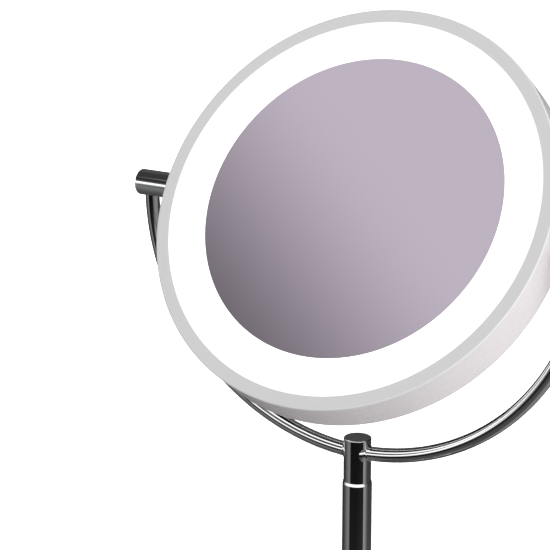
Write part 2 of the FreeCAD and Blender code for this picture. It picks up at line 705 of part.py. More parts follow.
# ---------------------------------------------------------------- write every node
def main():
    os.makedirs("parts", exist_ok=True)

    save("base_shell", base_shell())
    save("base_weight", base_weight())
    save("base_plate", base_plate())
    save("base_screws", base_screws())
    save("rubber_feet", rubber_feet())
    save("stem_bolt", stem_bolt())
    save("stem_washer", stem_washer())
    save("stem_plug", stem_plug())
    save("stem_tube", stem_tube())
    save("stem_collar", stem_collar())
    save("swivel_bush", swivel_bush())
    save("power_button", power_button())
    save("power_switch", power_switch())
    save("switch_board", block(SWITCH_BOARD_SIZE, (0, BUTTON_Y), PLATE_TOP, SMALL_BOARD_THICKNESS))
    save("power_inlet", power_inlet())
    save("inlet_board", block(INLET_BOARD_SIZE, (0, INLET_BOARD_Y), PLATE_TOP, SMALL_BOARD_THICKNESS))

    save("yoke_hub", yoke_hub())
    save("yoke_tube", yoke_tube())
    save("swivel_ring", swivel_ring())
    save("swivel_washer", swivel_washer())
    save("swivel_screw", swivel_screw())
    save("friction_washers", friction_washers())
    save("pivot_springs", pivot_springs())
    for name, side in SIDES.items():
        save("pivot_barrel_" + name, pivot_barrel(side))
        save("barrel_cap_" + name, barrel_cap(side))
        save("pivot_stud_" + name, pivot_stud(side))
        save("pivot_bracket_" + name, pivot_bracket(side))

    save("pivot_nuts", pivot_nuts())
    save("bracket_screws", in_head(bracket_screw_solids()))
    save("carrier_screws", in_head(carrier_screw_solids()))
    save("side_case", side_case())
    save("front_bezel", in_head(bezel(FRONT_EDGE_ROUND)))
    save("rear_bezel", in_head(turned_over(bezel(REAR_EDGE_ROUND))))
    save("front_diffuser", in_head(diffuser()))
    save("rear_diffuser", in_head(turned_over(diffuser())))
    save("front_carrier", front_carrier())
    save("rear_carrier", rear_carrier())
    led_board = ring(LED_BOARD_INNER, LED_BOARD_OUTER, CARRIER_FRONT, CARRIER_FRONT + LED_BOARD_THICKNESS)
    save("front_led_board", in_head(led_board))
    save("rear_led_board", in_head(turned_over(led_board)))
    save("front_leds", in_head(leds()))
    save("rear_leds", in_head(turned_over(leds())))
    save("mirror_glass", in_head(disc(GLASS_RADIUS, GLASS_BACK, GLASS_FRONT)))
    save("mirror_pad", in_head(disc(PAD_RADIUS, PAD_BACK, GLASS_BACK)))
    save("mirror_backing", in_head(disc(GLASS_RADIUS, BACKING_BACK, PAD_BACK)))
    save("magnifying_glass", in_head(magnifying_glass()))
    save("driver_board", driver_board())
    save("driver_parts", driver_parts())
    save("board_screws", in_head(board_screw_solids()))


main()
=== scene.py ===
import json
import math

import bmesh
import bpy
from mathutils import Matrix, Vector


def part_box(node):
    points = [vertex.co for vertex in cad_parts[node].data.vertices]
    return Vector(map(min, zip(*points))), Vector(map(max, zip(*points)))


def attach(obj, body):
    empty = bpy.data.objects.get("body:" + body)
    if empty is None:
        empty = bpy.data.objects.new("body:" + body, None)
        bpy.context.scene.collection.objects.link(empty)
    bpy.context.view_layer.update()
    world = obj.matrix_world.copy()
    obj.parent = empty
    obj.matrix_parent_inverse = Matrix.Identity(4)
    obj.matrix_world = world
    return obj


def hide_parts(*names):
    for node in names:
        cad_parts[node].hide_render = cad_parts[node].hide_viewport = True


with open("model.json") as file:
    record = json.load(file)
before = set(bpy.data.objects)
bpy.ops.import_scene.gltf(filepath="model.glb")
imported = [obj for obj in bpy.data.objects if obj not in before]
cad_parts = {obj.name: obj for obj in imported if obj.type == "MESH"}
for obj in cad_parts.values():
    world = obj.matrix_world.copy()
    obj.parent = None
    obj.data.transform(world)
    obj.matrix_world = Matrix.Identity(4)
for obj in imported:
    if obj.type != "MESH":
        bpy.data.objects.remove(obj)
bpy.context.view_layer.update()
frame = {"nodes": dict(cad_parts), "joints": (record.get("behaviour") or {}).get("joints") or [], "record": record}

# ---------------------------------------------------------------- places (metres)
# The lean is the head's at rest; the other places come from the frame.
MM = 0.001
ORIGIN = Matrix.Identity(4)
SIDES = (("left", -1), ("right", 1))
JOINTS = {joint["name"]: joint for joint in frame["joints"]}
PIVOT = Vector(JOINTS["head_tilt"]["pos_m"])
TILT = math.radians(35.9)
HEAD_FRONT = Vector((0, -math.cos(TILT), math.sin(TILT)))
HEAD_UP = HEAD_FRONT.cross(Vector((1, 0, 0)))
HEAD_PLACE = Matrix.Translation(PIVOT) @ Matrix((
    (1, HEAD_UP.x, HEAD_FRONT.x),
    (0, HEAD_UP.y, HEAD_FRONT.y),
    (0, HEAD_UP.z, HEAD_FRONT.z),
)).to_4x4()
REAR_PLACE = HEAD_PLACE @ Matrix.Rotation(math.pi, 4, "X")
STEM_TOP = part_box("stem_tube")[1].z
HUB_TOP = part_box("yoke_hub")[1].z
HUB_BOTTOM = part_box("yoke_hub")[0].z
BASE_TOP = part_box("base_shell")[1].z
FOOT_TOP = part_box("rubber_feet")[1].z

# ---------------------------------------------------------------- sizes of the base, its feet and its button
BASE_RADIUS = 80.0 * MM
BASE_BORE = 4.2 * MM
SHEET = 1.5 * MM
SKIRT_TOP = 9.5 * MM
SHOULDER_FILLET = 2.6 * MM
SHOULDER_RADIUS = 72.0 * MM
CROWN = ((77.6 * MM, 12.5 * MM), (46.0 * MM, 20.0 * MM), (14.0 * MM, 24.0 * MM))
CROWN_INNER = CROWN[2][0]
CROWN_STEPS = 12
FEET = 4
FIRST_FOOT_DEG = 45
FOOT_CIRCLE = 64.0 * MM
FOOT_RADIUS = 6.5 * MM
SOCKET_SIZE = (10.0 * MM, 13.0 * MM)
SOCKET_HEIGHTS = (4.6 * MM, 8.8 * MM)
BUTTON_Y = -52.0 * MM
BUTTON_RADIUS = 5.5 * MM
BUTTON_HOLE = 5.85 * MM
BUTTON_FLANGE_RADIUS = 7.5 * MM
BUTTON_FLANGE_HEIGHT = 1.2 * MM
BUTTON_DISH_RADIUS = 3.4 * MM
BUTTON_DISH_DEPTH = 0.5 * MM

# ---------------------------------------------------------------- sizes of the stem, the yoke and its pivots
STEM_RADIUS = 8.2 * MM
STEM_BORE = 7.7 * MM
STEM_LIP = 0.1 * MM
STEM_BEVEL_HEIGHT = 1.6 * MM
COLLAR_RADIUS = 12.4 * MM
COLLAR_HEIGHT = 5.0 * MM
HUB_RADIUS = 7.65 * MM
YOKE_RADIUS = 132.2 * MM
YOKE_CENTRE = PIVOT - Vector((0, 0, 2.6 * MM))
YOKE_TUBE = 4.0 * MM
FLARE_START = 4.0 * MM
FLARE_END = 9.2 * MM
FLARE_BORE = YOKE_TUBE - 1.2 * MM
BARREL_RADIUS = 7.25 * MM
BARREL_START = 117.0 * MM
BARREL_END = 137.4 * MM
BARREL_FLOOR = BARREL_START + 3.5 * MM
STUD_BORE = 2.55 * MM
CAP_SEAT_RADIUS = 5.75 * MM
CAP_SEAT = BARREL_END - 0.9 * MM
CAP_END = 139.6 * MM

# ---------------------------------------------------------------- head: heights from its middle plane
HEAD_RADIUS = 115.0 * MM
HEAD_HALF_DEPTH = 13.35 * MM
WALL = 2.2 * MM
BEZEL_SEAT = 11.0 * MM
RIM_STEP = HEAD_HALF_DEPTH - 1.4 * MM
RIM_STEP_RADIUS = 109.45 * MM
RIM_SKIRT = BEZEL_SEAT - 4.0 * MM
RIM_SKIRT_RADIUS = 110.6 * MM
FRONT_RIM_ROUND = 0.8 * MM
REAR_RIM_ROUND = 2.35 * MM
LIGHT_OUTER = 107.4 * MM
LIGHT_INNER = 86.4 * MM
LEDGE_OUTER = 109.4 * MM
LEDGE_INNER = 89.4 * MM
DIFFUSER_FRONT = 12.95 * MM
DIFFUSER_BACK = 10.95 * MM
GLASS_FRONT = 11.95 * MM
GLASS_BACK = 8.95 * MM
GLASS_RADIUS = 88.9 * MM
MAGNIFIER_THICKNESS = 2.5 * MM
MAGNIFIER_CURVE = 1.0
MAGNIFIER_STEPS = 24

# ---------------------------------------------------------------- how finely the pieces are made
RIM_SEGMENTS = 256
BASE_SEGMENTS = 224
TUBE_SEGMENTS = 96
SMALL_SEGMENTS = 72
SHARP_DEG = 30
ON_AXIS = 1e-7

# ---------------------------------------------------------------- camera of the product view
CAMERA_AZIMUTH = 30.52
CAMERA_ELEVATION = 16.43
CAMERA_DISTANCE = 1.36165
CAMERA_LENS = 166.98
TARGET_RIGHT = -0.04526
TARGET_UP = -0.03249

# ---------------------------------------------------------------- studio levels
FLOOR_GLOW = 0.85
FLOOR_RADIUS = 9.0
BACKDROP_GLOW = 1.2
FILL_LEVEL = 0.50
FILL_RIGHT = 1.38
FILL_FRONT = 0.60
FILL_LEAST = 0.02
ROOM_DARK = 0.007
LEFT_PANEL = (0.05, 0.34)
RIGHT_PANEL = (0.50, 0.06)
STRIP_GLOW = 1.9
HALO_GLOW = 0.16
BEHIND_GLOW = 0.08
UPPER_GLOW = 0.06
TABLE_GLOW = (0.10, 0.30)
WINDOW_GLOW = 0.35
CARD_DISTANCE = 0.9
CARD_HALF_SIZE = 0.165
CARD_SHIFT = (-0.015, 0.036, 0)
CARD_SLANT = 101.3
CARD_FADE = (-0.152, 0.083)
CARD_GREYS = (0.145, 0.585)
CARD_TINT = (1.0, 0.895, 1.035, 1)
RING_GLOW = (1.25, 0.35)
RING_FADE = (LIGHT_OUTER - 3.0 * MM, LIGHT_OUTER + 0.6 * MM)

# Area lights: name, azimuth and elevation (degrees), distance and size (metres), power (watts)
LIGHTS = (
    ("key_right", 100, 40, 1.5, (0.7, 0.9), 3.0),
    ("rear_soft", 215, 15, 1.4, (0.8, 0.8), 9.0),
    ("left_low", -60, -15, 1.2, (0.6, 0.4), 1.6),
)


# ---------------------------------------------------------------- mesh helpers
def rounded(corners, steps):
    """A closed outline of (radius, height, fillet) corners as plain points, each fillet an arc."""
    points = []
    count = len(corners)
    for index, (x, y, fillet) in enumerate(corners):
        here = Vector((x, y))
        if fillet <= 0:
            points.append(here)
            continue
        before = (Vector(corners[index - 1][:2]) - here).normalized()
        after = (Vector(corners[(index + 1) % count][:2]) - here).normalized()
        half = before.angle(after) / 2
        reach = fillet / math.tan(half)
        centre = here + (before + after).normalized() * (fillet / math.sin(half))
        start = here + before * reach - centre
        end = here + after * reach - centre
        turn = start.angle(end)
        for step in range(steps + 1):
            share = step / steps
            swing = start * math.sin(turn * (1 - share)) + end * math.sin(turn * share)
            points.append(centre + swing / math.sin(turn))
    return points


def add(name, data):
    """New object in the scene that shows the data."""
    thing = bpy.data.objects.new(name, data)
    bpy.context.scene.collection.objects.link(thing)
    return thing


def shade(mesh, sharp_deg=SHARP_DEG):
    """Smooth shading, apart from the edges that turn by more than an angle."""
    for polygon in mesh.polygons:
        polygon.use_smooth = True
    mesh.set_sharp_from_angle(angle=math.radians(sharp_deg))


def to_mesh(name, builder):
    mesh = bpy.data.meshes.new(name)
    builder.to_mesh(mesh)
    builder.free()
    return mesh


def finish_mesh(name, builder, place, sharp_deg=SHARP_DEG):
    bmesh.ops.recalc_face_normals(builder, faces=builder.faces)
    mesh = to_mesh(name, builder)
    shade(mesh, sharp_deg)
    piece = add(name, mesh)
    piece.matrix_world = place
    return piece


def spin(name, corners, segments, place=ORIGIN, steps=4, sharp_deg=SHARP_DEG):
    """Closed piece of revolution about its own Z axis; steps is how many faces each fillet gets."""
    builder = bmesh.new()
    rings = []
    for point in rounded(corners, steps):
        if point.x < ON_AXIS:
            rings.append([builder.verts.new((0, 0, point.y))])
            continue
        loop = []
        for step in range(segments):
            angle = 2 * math.pi * step / segments
            loop.append(builder.verts.new((point.x * math.cos(angle), point.x * math.sin(angle), point.y)))
        rings.append(loop)
    for index, low in enumerate(rings):
        high = rings[(index + 1) % len(rings)]
        if len(low) == 1 and len(high) == 1:
            continue
        for step in range(segments):
            following = (step + 1) % segments
            if len(low) == 1:
                builder.faces.new((low[0], high[step], high[following]))
            elif len(high) == 1:
                builder.faces.new((low[step], high[0], low[following]))
            else:
                builder.faces.new((low[step], high[step], high[following], low[following]))
    return finish_mesh(name, builder, place, sharp_deg)


def bent_tube(name, radius, centre, bend_radius, along=128, around=40):
    """Half ring of round tube in the XZ plane, hanging below its centre, closed at both ends."""
    builder = bmesh.new()
    rings = []
    for step in range(along + 1):
        angle = math.pi * step / along
        outward = Vector((math.cos(angle), 0, -math.sin(angle)))
        middle = centre + outward * bend_radius
        loop = []
        for turn in range(around):
            around_angle = 2 * math.pi * turn / around
            offset = outward * math.cos(around_angle) + Vector((0, 1, 0)) * math.sin(around_angle)
            loop.append(builder.verts.new(middle + offset * radius))
        rings.append(loop)
    for low, high in zip(rings, rings[1:]):
        for turn in range(around):
            following = (turn + 1) % around
            builder.faces.new((low[turn], low[following], high[following], high[turn]))
    builder.faces.new(rings[0])
    builder.faces.new(rings[-1])
    return finish_mesh(name, builder, ORIGIN, sharp_deg=60)


def block(name, size, low, high, place):
    """Plain box between two heights, centred on its place in plan."""
    builder = bmesh.new()
    half_x, half_y = size[0] / 2, size[1] / 2
    corners = ((half_x, half_y), (-half_x, half_y), (-half_x, -half_y), (half_x, -half_y))
    bottom = builder.faces.new([builder.verts.new((x, y, low)) for x, y in corners])
    raised = bmesh.ops.extrude_face_region(builder, geom=[bottom])
    lifted = [item for item in raised["geom"] if isinstance(item, bmesh.types.BMVert)]
    bmesh.ops.translate(builder, verts=lifted, vec=(0, 0, high - low))
    return finish_mesh(name, builder, place)


def cut(piece, *cutters):
    """Take the cutters' volumes out of a piece, and throw the cutters away."""
    for cutter in cutters:
        modifier = piece.modifiers.new("cut", "BOOLEAN")
        modifier.object = cutter
        modifier.solver = "EXACT"
    evaluated = piece.evaluated_get(bpy.context.evaluated_depsgraph_get())
    piece.data = bpy.data.meshes.new_from_object(evaluated)
    piece.modifiers.clear()
    shade(piece.data)
    for cutter in cutters:
        bpy.data.objects.remove(cutter)


def dress(piece, body, slot, material, *nodes):
    """Give a piece its material and its body, and hide the CAD nodes that it stands for; its slot is not used."""
    piece.data.materials.clear()
    piece.data.materials.append(material)
    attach(piece, body)
    if nodes:
        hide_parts(*nodes)
    flatten = piece.modifiers.new("flat_faces_stay_flat", "WEIGHTED_NORMAL")
    flatten.keep_sharp = True


# ---------------------------------------------------------------- materials
# A Mix node's two colour inputs and its colour output, which share their names with other sockets
MIX_FIRST, MIX_SECOND, MIX_COLOUR = 6, 7, 2
CLOUD_SIZE = 12


def surface(name, colour, roughness, spread=0.03, grain=400.0, bump=0.0, tone=0.03, metallic=0.0, coat=0.0):
    """Principled material whose roughness, tone and fine bump come from noise in the piece's own space."""
    material = bpy.data.materials.new(name)
    material.use_nodes = True
    nodes = material.node_tree.nodes
    links = material.node_tree.links
    shader = nodes["Principled BSDF"]
    shader.inputs["Metallic"].default_value = metallic
    shader.inputs["Coat Weight"].default_value = coat
    shader.inputs["Coat Roughness"].default_value = 0.06
    place = nodes.new("ShaderNodeTexCoord")
    noise = nodes.new("ShaderNodeTexNoise")
    noise.inputs["Scale"].default_value = grain
    noise.inputs["Detail"].default_value = 4.0
    links.new(place.outputs["Object"], noise.inputs["Vector"])
    rough = nodes.new("ShaderNodeMapRange")
    rough.inputs["To Min"].default_value = max(0.0, roughness - spread)
    rough.inputs["To Max"].default_value = roughness + spread
    links.new(noise.outputs["Fac"], rough.inputs["Value"])
    links.new(rough.outputs["Result"], shader.inputs["Roughness"])
    cloud = nodes.new("ShaderNodeTexNoise")
    cloud.inputs["Scale"].default_value = grain / CLOUD_SIZE
    links.new(place.outputs["Object"], cloud.inputs["Vector"])
    mix = nodes.new("ShaderNodeMix")
    mix.data_type = "RGBA"
    mix.inputs[MIX_FIRST].default_value = (*[max(0.0, part * (1 - tone)) for part in colour], 1)
    mix.inputs[MIX_SECOND].default_value = (*[min(1.0, part * (1 + tone)) for part in colour], 1)
    links.new(cloud.outputs["Fac"], mix.inputs[0])
    links.new(mix.outputs[MIX_COLOUR], shader.inputs["Base Color"])
    if bump > 0:
        relief = nodes.new("ShaderNodeBump")
        relief.inputs["Strength"].default_value = bump
        relief.inputs["Distance"].default_value = 0.1 * MM
        links.new(noise.outputs["Fac"], relief.inputs["Height"])
        links.new(relief.outputs["Normal"], shader.inputs["Normal"])
    return material


def lit_diffuser():
    """Frosted ring that glows evenly and fades in its last few millimetres before the rim."""
    material = surface("lit_diffuser", (0.9, 0.9, 0.9), 0.35, grain=900.0)
    nodes = material.node_tree.nodes
    links = material.node_tree.links
    shader = nodes["Principled BSDF"]
    place = nodes.new("ShaderNodeTexCoord")
    flatten = nodes.new("ShaderNodeVectorMath")
    flatten.operation = "MULTIPLY"
    flatten.inputs[1].default_value = (1, 1, 0)
    length = nodes.new("ShaderNodeVectorMath")
    length.operation = "LENGTH"
    fade = nodes.new("ShaderNodeMapRange")
    fade.interpolation_type = "SMOOTHSTEP"
    fade.inputs["From Min"].default_value = RING_FADE[0]
    fade.inputs["From Max"].default_value = RING_FADE[1]
    fade.inputs["To Min"].default_value = RING_GLOW[0]
    fade.inputs["To Max"].default_value = RING_GLOW[1]
    links.new(place.outputs["Object"], flatten.inputs[0])
    links.new(flatten.outputs["Vector"], length.inputs[0])
    links.new(length.outputs["Value"], fade.inputs["Value"])
    shader.inputs["Emission Color"].default_value = (1.0, 0.995, 0.99, 1)
    links.new(fade.outputs["Result"], shader.inputs["Emission Strength"])
    return material


def metal(name, colour, roughness, **finish):
    return surface(name, colour, roughness, metallic=1.0, **finish)


CHROME = metal("chrome_plate", (0.70, 0.705, 0.715), 0.06, spread=0.025, grain=260.0, tone=0.02)
GLOSS = {"spread": 0.05, "grain": 1400.0, "bump": 0.04, "tone": 0.012}
WHITE = surface("white_plastic", (0.83, 0.785, 0.805), 0.28, coat=0.25, **GLOSS)
RIM = surface("rim_plastic", (0.79, 0.78, 0.785), 0.30, coat=0.2, **GLOSS)
MIRROR = metal("silvered_glass", (0.88, 0.86, 0.88), 0.004, spread=0.004, grain=60.0, tone=0.004)
GLOW = lit_diffuser()
BUTTON = surface("button_plastic", (0.45, 0.46, 0.48), 0.4, grain=1600.0, bump=0.2)
BLACK = surface("black_plastic", (0.035, 0.035, 0.038), 0.55, spread=0.08, grain=1800.0, bump=0.5, tone=0.15)
RUBBER = surface("foot_rubber", (0.028, 0.028, 0.03), 0.75, spread=0.1, grain=1500.0, bump=0.5, tone=0.2)
STEEL = metal("zinc_steel", (0.56, 0.56, 0.55), 0.32, spread=0.1, grain=700.0, bump=0.15, tone=0.1)
IRON = surface(
    "cast_iron", (0.10, 0.10, 0.105), 0.7, spread=0.15, grain=500.0, bump=1.0, tone=0.3, metallic=0.6)
NYLON = surface("nylon", (0.80, 0.79, 0.75), 0.45, grain=900.0, bump=0.1)
INNER = surface("inner_plastic", (0.78, 0.78, 0.77), 0.5, grain=1200.0, bump=0.2)
FOAM = surface("foam_pad", (0.7, 0.7, 0.68), 0.9, grain=2200.0, bump=1.0, tone=0.1)
BOARD = surface("solder_mask", (0.78, 0.78, 0.75), 0.35, grain=800.0, tone=0.05, coat=0.3)
LED = surface("led_lens", (0.85, 0.74, 0.3), 0.2, grain=900.0)

CAD_MATERIALS = {
    "chrome": CHROME,
    "cast_iron": IRON,
    "black_plastic": BLACK,
    "steel": STEEL,
    "rubber": RUBBER,
    "nylon": NYLON,
    "white_plastic": WHITE,
    "diffuser": GLOW,
    "mirror": MIRROR,
    "foam": FOAM,
    "inner_plastic": INNER,
    "circuit_board": BOARD,
    "led": LED,
    "button_plastic": BUTTON,
}


def dress_cad_nodes():
    for part in frame["record"]["subparts"]:
        node = frame["nodes"][part["node"]]
        node.data.materials.clear()
        node.data.materials.append(CAD_MATERIALS[part["material_slot"]])


# ---------------------------------------------------------------- base and stem
def crown_height(radius):
    """Height of the base's domed top: the parabola through its three CROWN points."""
    height = 0.0
    for here, level in CROWN:
        first, second = [point[0] for point in CROWN if point[0] != here]
        height += level * (radius - first) * (radius - second) / ((here - first) * (here - second))
    return height


def make_dome():
    reach = CROWN_INNER - SHOULDER_RADIUS
    radii = [SHOULDER_RADIUS + reach * step / CROWN_STEPS for step in range(CROWN_STEPS + 1)]
    dome = spin("base_dome", [
        (BASE_RADIUS, FOOT_TOP, 0.3 * MM),
        (BASE_RADIUS, crown_height(BASE_RADIUS), SHOULDER_FILLET),
        *[(radius, crown_height(radius), 0) for radius in radii],
        (BASE_BORE, BASE_TOP, 0),
        (BASE_BORE, BASE_TOP - SHEET, 0),
        *[(radius, crown_height(radius) - SHEET, 0) for radius in reversed(radii)],
        (BASE_RADIUS - SHEET, SKIRT_TOP, 0),
        (BASE_RADIUS - SHEET, FOOT_TOP, 0),
    ], segments=BASE_SEGMENTS, steps=8)
    button_hole = spin("hole", [
        (0, FOOT_TOP, 0),
        (BUTTON_HOLE, FOOT_TOP, 0),
        (BUTTON_HOLE, BASE_TOP, 0),
        (0, BASE_TOP, 0),
    ], segments=64, place=Matrix.Translation((0, BUTTON_Y, 0)))
    socket_slot = block("hole", SOCKET_SIZE, *SOCKET_HEIGHTS, Matrix.Translation((0, BASE_RADIUS, 0)))
    cut(dome, button_hole, socket_slot)
    dress(dome, "base", "chrome", CHROME, "base_shell")


def make_feet():
    for index in range(FEET):
        angle = math.radians(FIRST_FOOT_DEG + 360 / FEET * index)
        spot = Matrix.Translation((FOOT_CIRCLE * math.cos(angle), FOOT_CIRCLE * math.sin(angle), 0))
        foot = spin("rubber_foot_%d" % (index + 1), [
            (0, 0, 0),
            (FOOT_RADIUS, 0, 0.6 * MM),
            (FOOT_RADIUS, FOOT_TOP, 0.2 * MM),
            (0, FOOT_TOP, 0),
        ], segments=48, place=spot)
        dress(foot, "base", "rubber", RUBBER, "rubber_feet")


def make_stem():
    tube = spin("stem_pipe", [
        (STEM_BORE, BASE_TOP, 0),
        (STEM_RADIUS, BASE_TOP, 0),
        (STEM_RADIUS, STEM_TOP - STEM_BEVEL_HEIGHT, 1.5 * MM),
        (STEM_BORE + STEM_LIP, STEM_TOP, 0.05 * MM),
        (STEM_BORE, STEM_TOP, 0),
    ], segments=TUBE_SEGMENTS)
    dress(tube, "base", "chrome", CHROME, "stem_tube")


def make_collar():
    collar = spin("stem_foot_collar", [
        (STEM_RADIUS, BASE_TOP, 0),
        (COLLAR_RADIUS, BASE_TOP, 0.2 * MM),
        (COLLAR_RADIUS, BASE_TOP + COLLAR_HEIGHT, 2.2 * MM),
        (STEM_RADIUS, BASE_TOP + COLLAR_HEIGHT, 0.3 * MM),
    ], segments=TUBE_SEGMENTS, steps=8)
    dress(collar, "base", "chrome", CHROME, "stem_collar")


# ---------------------------------------------------------------- yoke
def sideways(centre, side):
    """Place at a centre with its Z axis along the tilt axis, to the left (-1) or to the right (1)."""
    return Matrix.Translation(centre) @ Matrix.Rotation(math.radians(90 * side), 4, "Y")


def make_hub():
    hub = spin("swivel_hub", [
        (0, HUB_BOTTOM, 0),
        (HUB_RADIUS, HUB_BOTTOM, 0.3 * MM),
        (HUB_RADIUS, HUB_TOP, 0.7 * MM),
        (0, HUB_TOP, 0),
    ], segments=TUBE_SEGMENTS)
    dress(hub, "yoke", "chrome", CHROME, "yoke_hub")


def make_flare(side_name, side):
    """Collar of bright metal that flares from the yoke's tube to the hub."""
    flare = spin("hub_fillet_" + side_name, [
        (FLARE_BORE, FLARE_START, 0),
        (6.4 * MM, FLARE_START, 0),
        (6.2 * MM, 5.6 * MM, 0),
        (4.3 * MM, 7.2 * MM, 2.0 * MM),
        (YOKE_TUBE - 0.45 * MM, FLARE_END, 0),
        (FLARE_BORE, FLARE_END, 0),
    ], segments=64, place=sideways((0, 0, YOKE_CENTRE.z - YOKE_RADIUS), side), steps=8, sharp_deg=50)
    dress(flare, "yoke", "chrome", CHROME)


def make_bow():
    bow = bent_tube("yoke_bow", YOKE_TUBE, YOKE_CENTRE, YOKE_RADIUS)
    dress(bow, "yoke", "chrome", CHROME, "yoke_tube")


def make_barrel(side_name, side):
    barrel = spin("pivot_sleeve_" + side_name, [
        (STUD_BORE, BARREL_START, 0),
        (BARREL_RADIUS, BARREL_START, 0.5 * MM),
        (BARREL_RADIUS, BARREL_END, 0),
        (CAP_SEAT_RADIUS, BARREL_END, 0),
        (CAP_SEAT_RADIUS, BARREL_FLOOR, 0),
        (STUD_BORE, BARREL_FLOOR, 0),
    ], segments=SMALL_SEGMENTS, place=sideways(PIVOT, side))
    dress(barrel, "yoke", "chrome", CHROME, "pivot_barrel_" + side_name)


def make_cap(side_name, side):
    cap = spin("pivot_end_cap_" + side_name, [
        (0, CAP_SEAT, 0),
        (CAP_SEAT_RADIUS, CAP_SEAT, 0),
        (CAP_SEAT_RADIUS, BARREL_END, 0),
        (BARREL_RADIUS, BARREL_END, 0),
        (BARREL_RADIUS, CAP_END, 1.0 * MM),
        (0, CAP_END, 0),
    ], segments=SMALL_SEGMENTS, place=sideways(PIVOT, side))
    dress(cap, "yoke", "chrome", CHROME, "barrel_cap_" + side_name)


def make_yoke():
    make_hub()
    for side_name, side in SIDES:
        make_flare(side_name, side)
    make_bow()
    for side_name, side in SIDES:
        make_barrel(side_name, side)
        make_cap(side_name, side)


# ---------------------------------------------------------------- head
def make_case():
    band = spin("case_band", [
        (HEAD_RADIUS - WALL, -BEZEL_SEAT, 0),
        (HEAD_RADIUS, -BEZEL_SEAT, 0.12 * MM),
        (HEAD_RADIUS, BEZEL_SEAT, 0.12 * MM),
        (HEAD_RADIUS - WALL, BEZEL_SEAT, 0),
    ], segments=RIM_SEGMENTS, place=HEAD_PLACE)
    dress(band, "head", "white_plastic", WHITE, "side_case")


def make_rim(name, place, edge_round, material, node):
    rim = spin(name, [
        (LIGHT_OUTER, RIM_STEP, 0),
        (LIGHT_OUTER, HEAD_HALF_DEPTH, 0.12 * MM),
        (HEAD_RADIUS, HEAD_HALF_DEPTH, edge_round),
        (HEAD_RADIUS, BEZEL_SEAT, 0),
        (HEAD_RADIUS - WALL, BEZEL_SEAT, 0),
        (HEAD_RADIUS - WALL, RIM_SKIRT, 0),
        (RIM_SKIRT_RADIUS, RIM_SKIRT, 0),
        (RIM_SKIRT_RADIUS, DIFFUSER_BACK, 0),
        (RIM_STEP_RADIUS, DIFFUSER_BACK, 0),
        (RIM_STEP_RADIUS, RIM_STEP, 0),
    ], segments=RIM_SEGMENTS, place=place, steps=6)
    dress(rim, "head", "white_plastic", material, node)


def make_light_ring(name, place, node):
    ring = spin(name, [
        (LIGHT_INNER, GLASS_FRONT, 0),
        (LIGHT_INNER, DIFFUSER_FRONT, 0.2 * MM),
        (LIGHT_OUTER, DIFFUSER_FRONT, 0),
        (LIGHT_OUTER, GLASS_FRONT, 0),
        (LEDGE_OUTER, GLASS_FRONT, 0),
        (LEDGE_OUTER, DIFFUSER_BACK, 0),
        (LEDGE_INNER, DIFFUSER_BACK, 0),
        (LEDGE_INNER, GLASS_FRONT, 0),
    ], segments=RIM_SEGMENTS, place=place)
    dress(ring, "head", "diffuser", GLOW, node)


def make_plane_mirror():
    glass = spin("mirror_disc", [
        (0, GLASS_BACK, 0),
        (GLASS_RADIUS, GLASS_BACK, 0.2 * MM),
        (GLASS_RADIUS, GLASS_FRONT, 0.2 * MM),
        (0, GLASS_FRONT, 0),
    ], segments=RIM_SEGMENTS, place=HEAD_PLACE)
    dress(glass, "head", "mirror", MIRROR, "mirror_glass")


def magnifier_rise(radius):
    """How far the concave glass stands forward of its own centre at a radius."""
    return MAGNIFIER_CURVE - math.sqrt(MAGNIFIER_CURVE ** 2 - radius ** 2)


def make_magnifier():
    radii = [LIGHT_INNER * step / MAGNIFIER_STEPS for step in range(MAGNIFIER_STEPS + 1)]
    centre = GLASS_FRONT - magnifier_rise(LIGHT_INNER)
    heights = [centre + magnifier_rise(radius) for radius in radii]
    face = [(radius, height, 0) for radius, height in zip(radii, heights)]
    back = [(radius, height - MAGNIFIER_THICKNESS, 0) for radius, height in zip(radii, heights)]
    glass = spin("magnifying_mirror", [
        *back,
        (GLASS_RADIUS, GLASS_FRONT - MAGNIFIER_THICKNESS, 0),
        (GLASS_RADIUS, GLASS_FRONT, 0),
        *reversed(face),
    ], segments=RIM_SEGMENTS, place=REAR_PLACE)
    dress(glass, "head", "mirror", MIRROR, "magnifying_glass")


def make_head():
    make_case()
    make_rim("front_rim", HEAD_PLACE, FRONT_RIM_ROUND, RIM, "front_bezel")
    make_rim("rear_rim", REAR_PLACE, REAR_RIM_ROUND, WHITE, "rear_bezel")
    make_light_ring("front_light_ring", HEAD_PLACE, "front_diffuser")
    make_light_ring("rear_light_ring", REAR_PLACE, "rear_diffuser")
    make_plane_mirror()
    make_magnifier()


def make_button():
    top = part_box("power_button")[1].z
    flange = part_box("power_button")[0].z
    button = spin("power_button_cap", [
        (0, flange, 0),
        (BUTTON_FLANGE_RADIUS, flange, 0.1 * MM),
        (BUTTON_FLANGE_RADIUS, flange + BUTTON_FLANGE_HEIGHT, 0.1 * MM),
        (BUTTON_RADIUS, flange + BUTTON_FLANGE_HEIGHT, 0),
        (BUTTON_RADIUS, top, 0.5 * MM),
        (BUTTON_DISH_RADIUS, top - BUTTON_DISH_DEPTH / 2, 3.0 * MM),
        (0, top - BUTTON_DISH_DEPTH, 0),
    ], segments=SMALL_SEGMENTS, place=Matrix.Translation((0, BUTTON_Y, 0)))
    dress(button, "power_button", "button_plastic", BUTTON, "power_button")


# ---------------------------------------------------------------- studio
def direction(azimuth_deg, elevation_deg):
    """Unit vector to a place: azimuth 0 is the front, 90 the right."""
    azimuth, elevation = math.radians(azimuth_deg), math.radians(elevation_deg)
    return Vector((
        math.sin(azimuth) * math.cos(elevation),
        -math.cos(azimuth) * math.cos(elevation),
        math.sin(elevation),
    ))


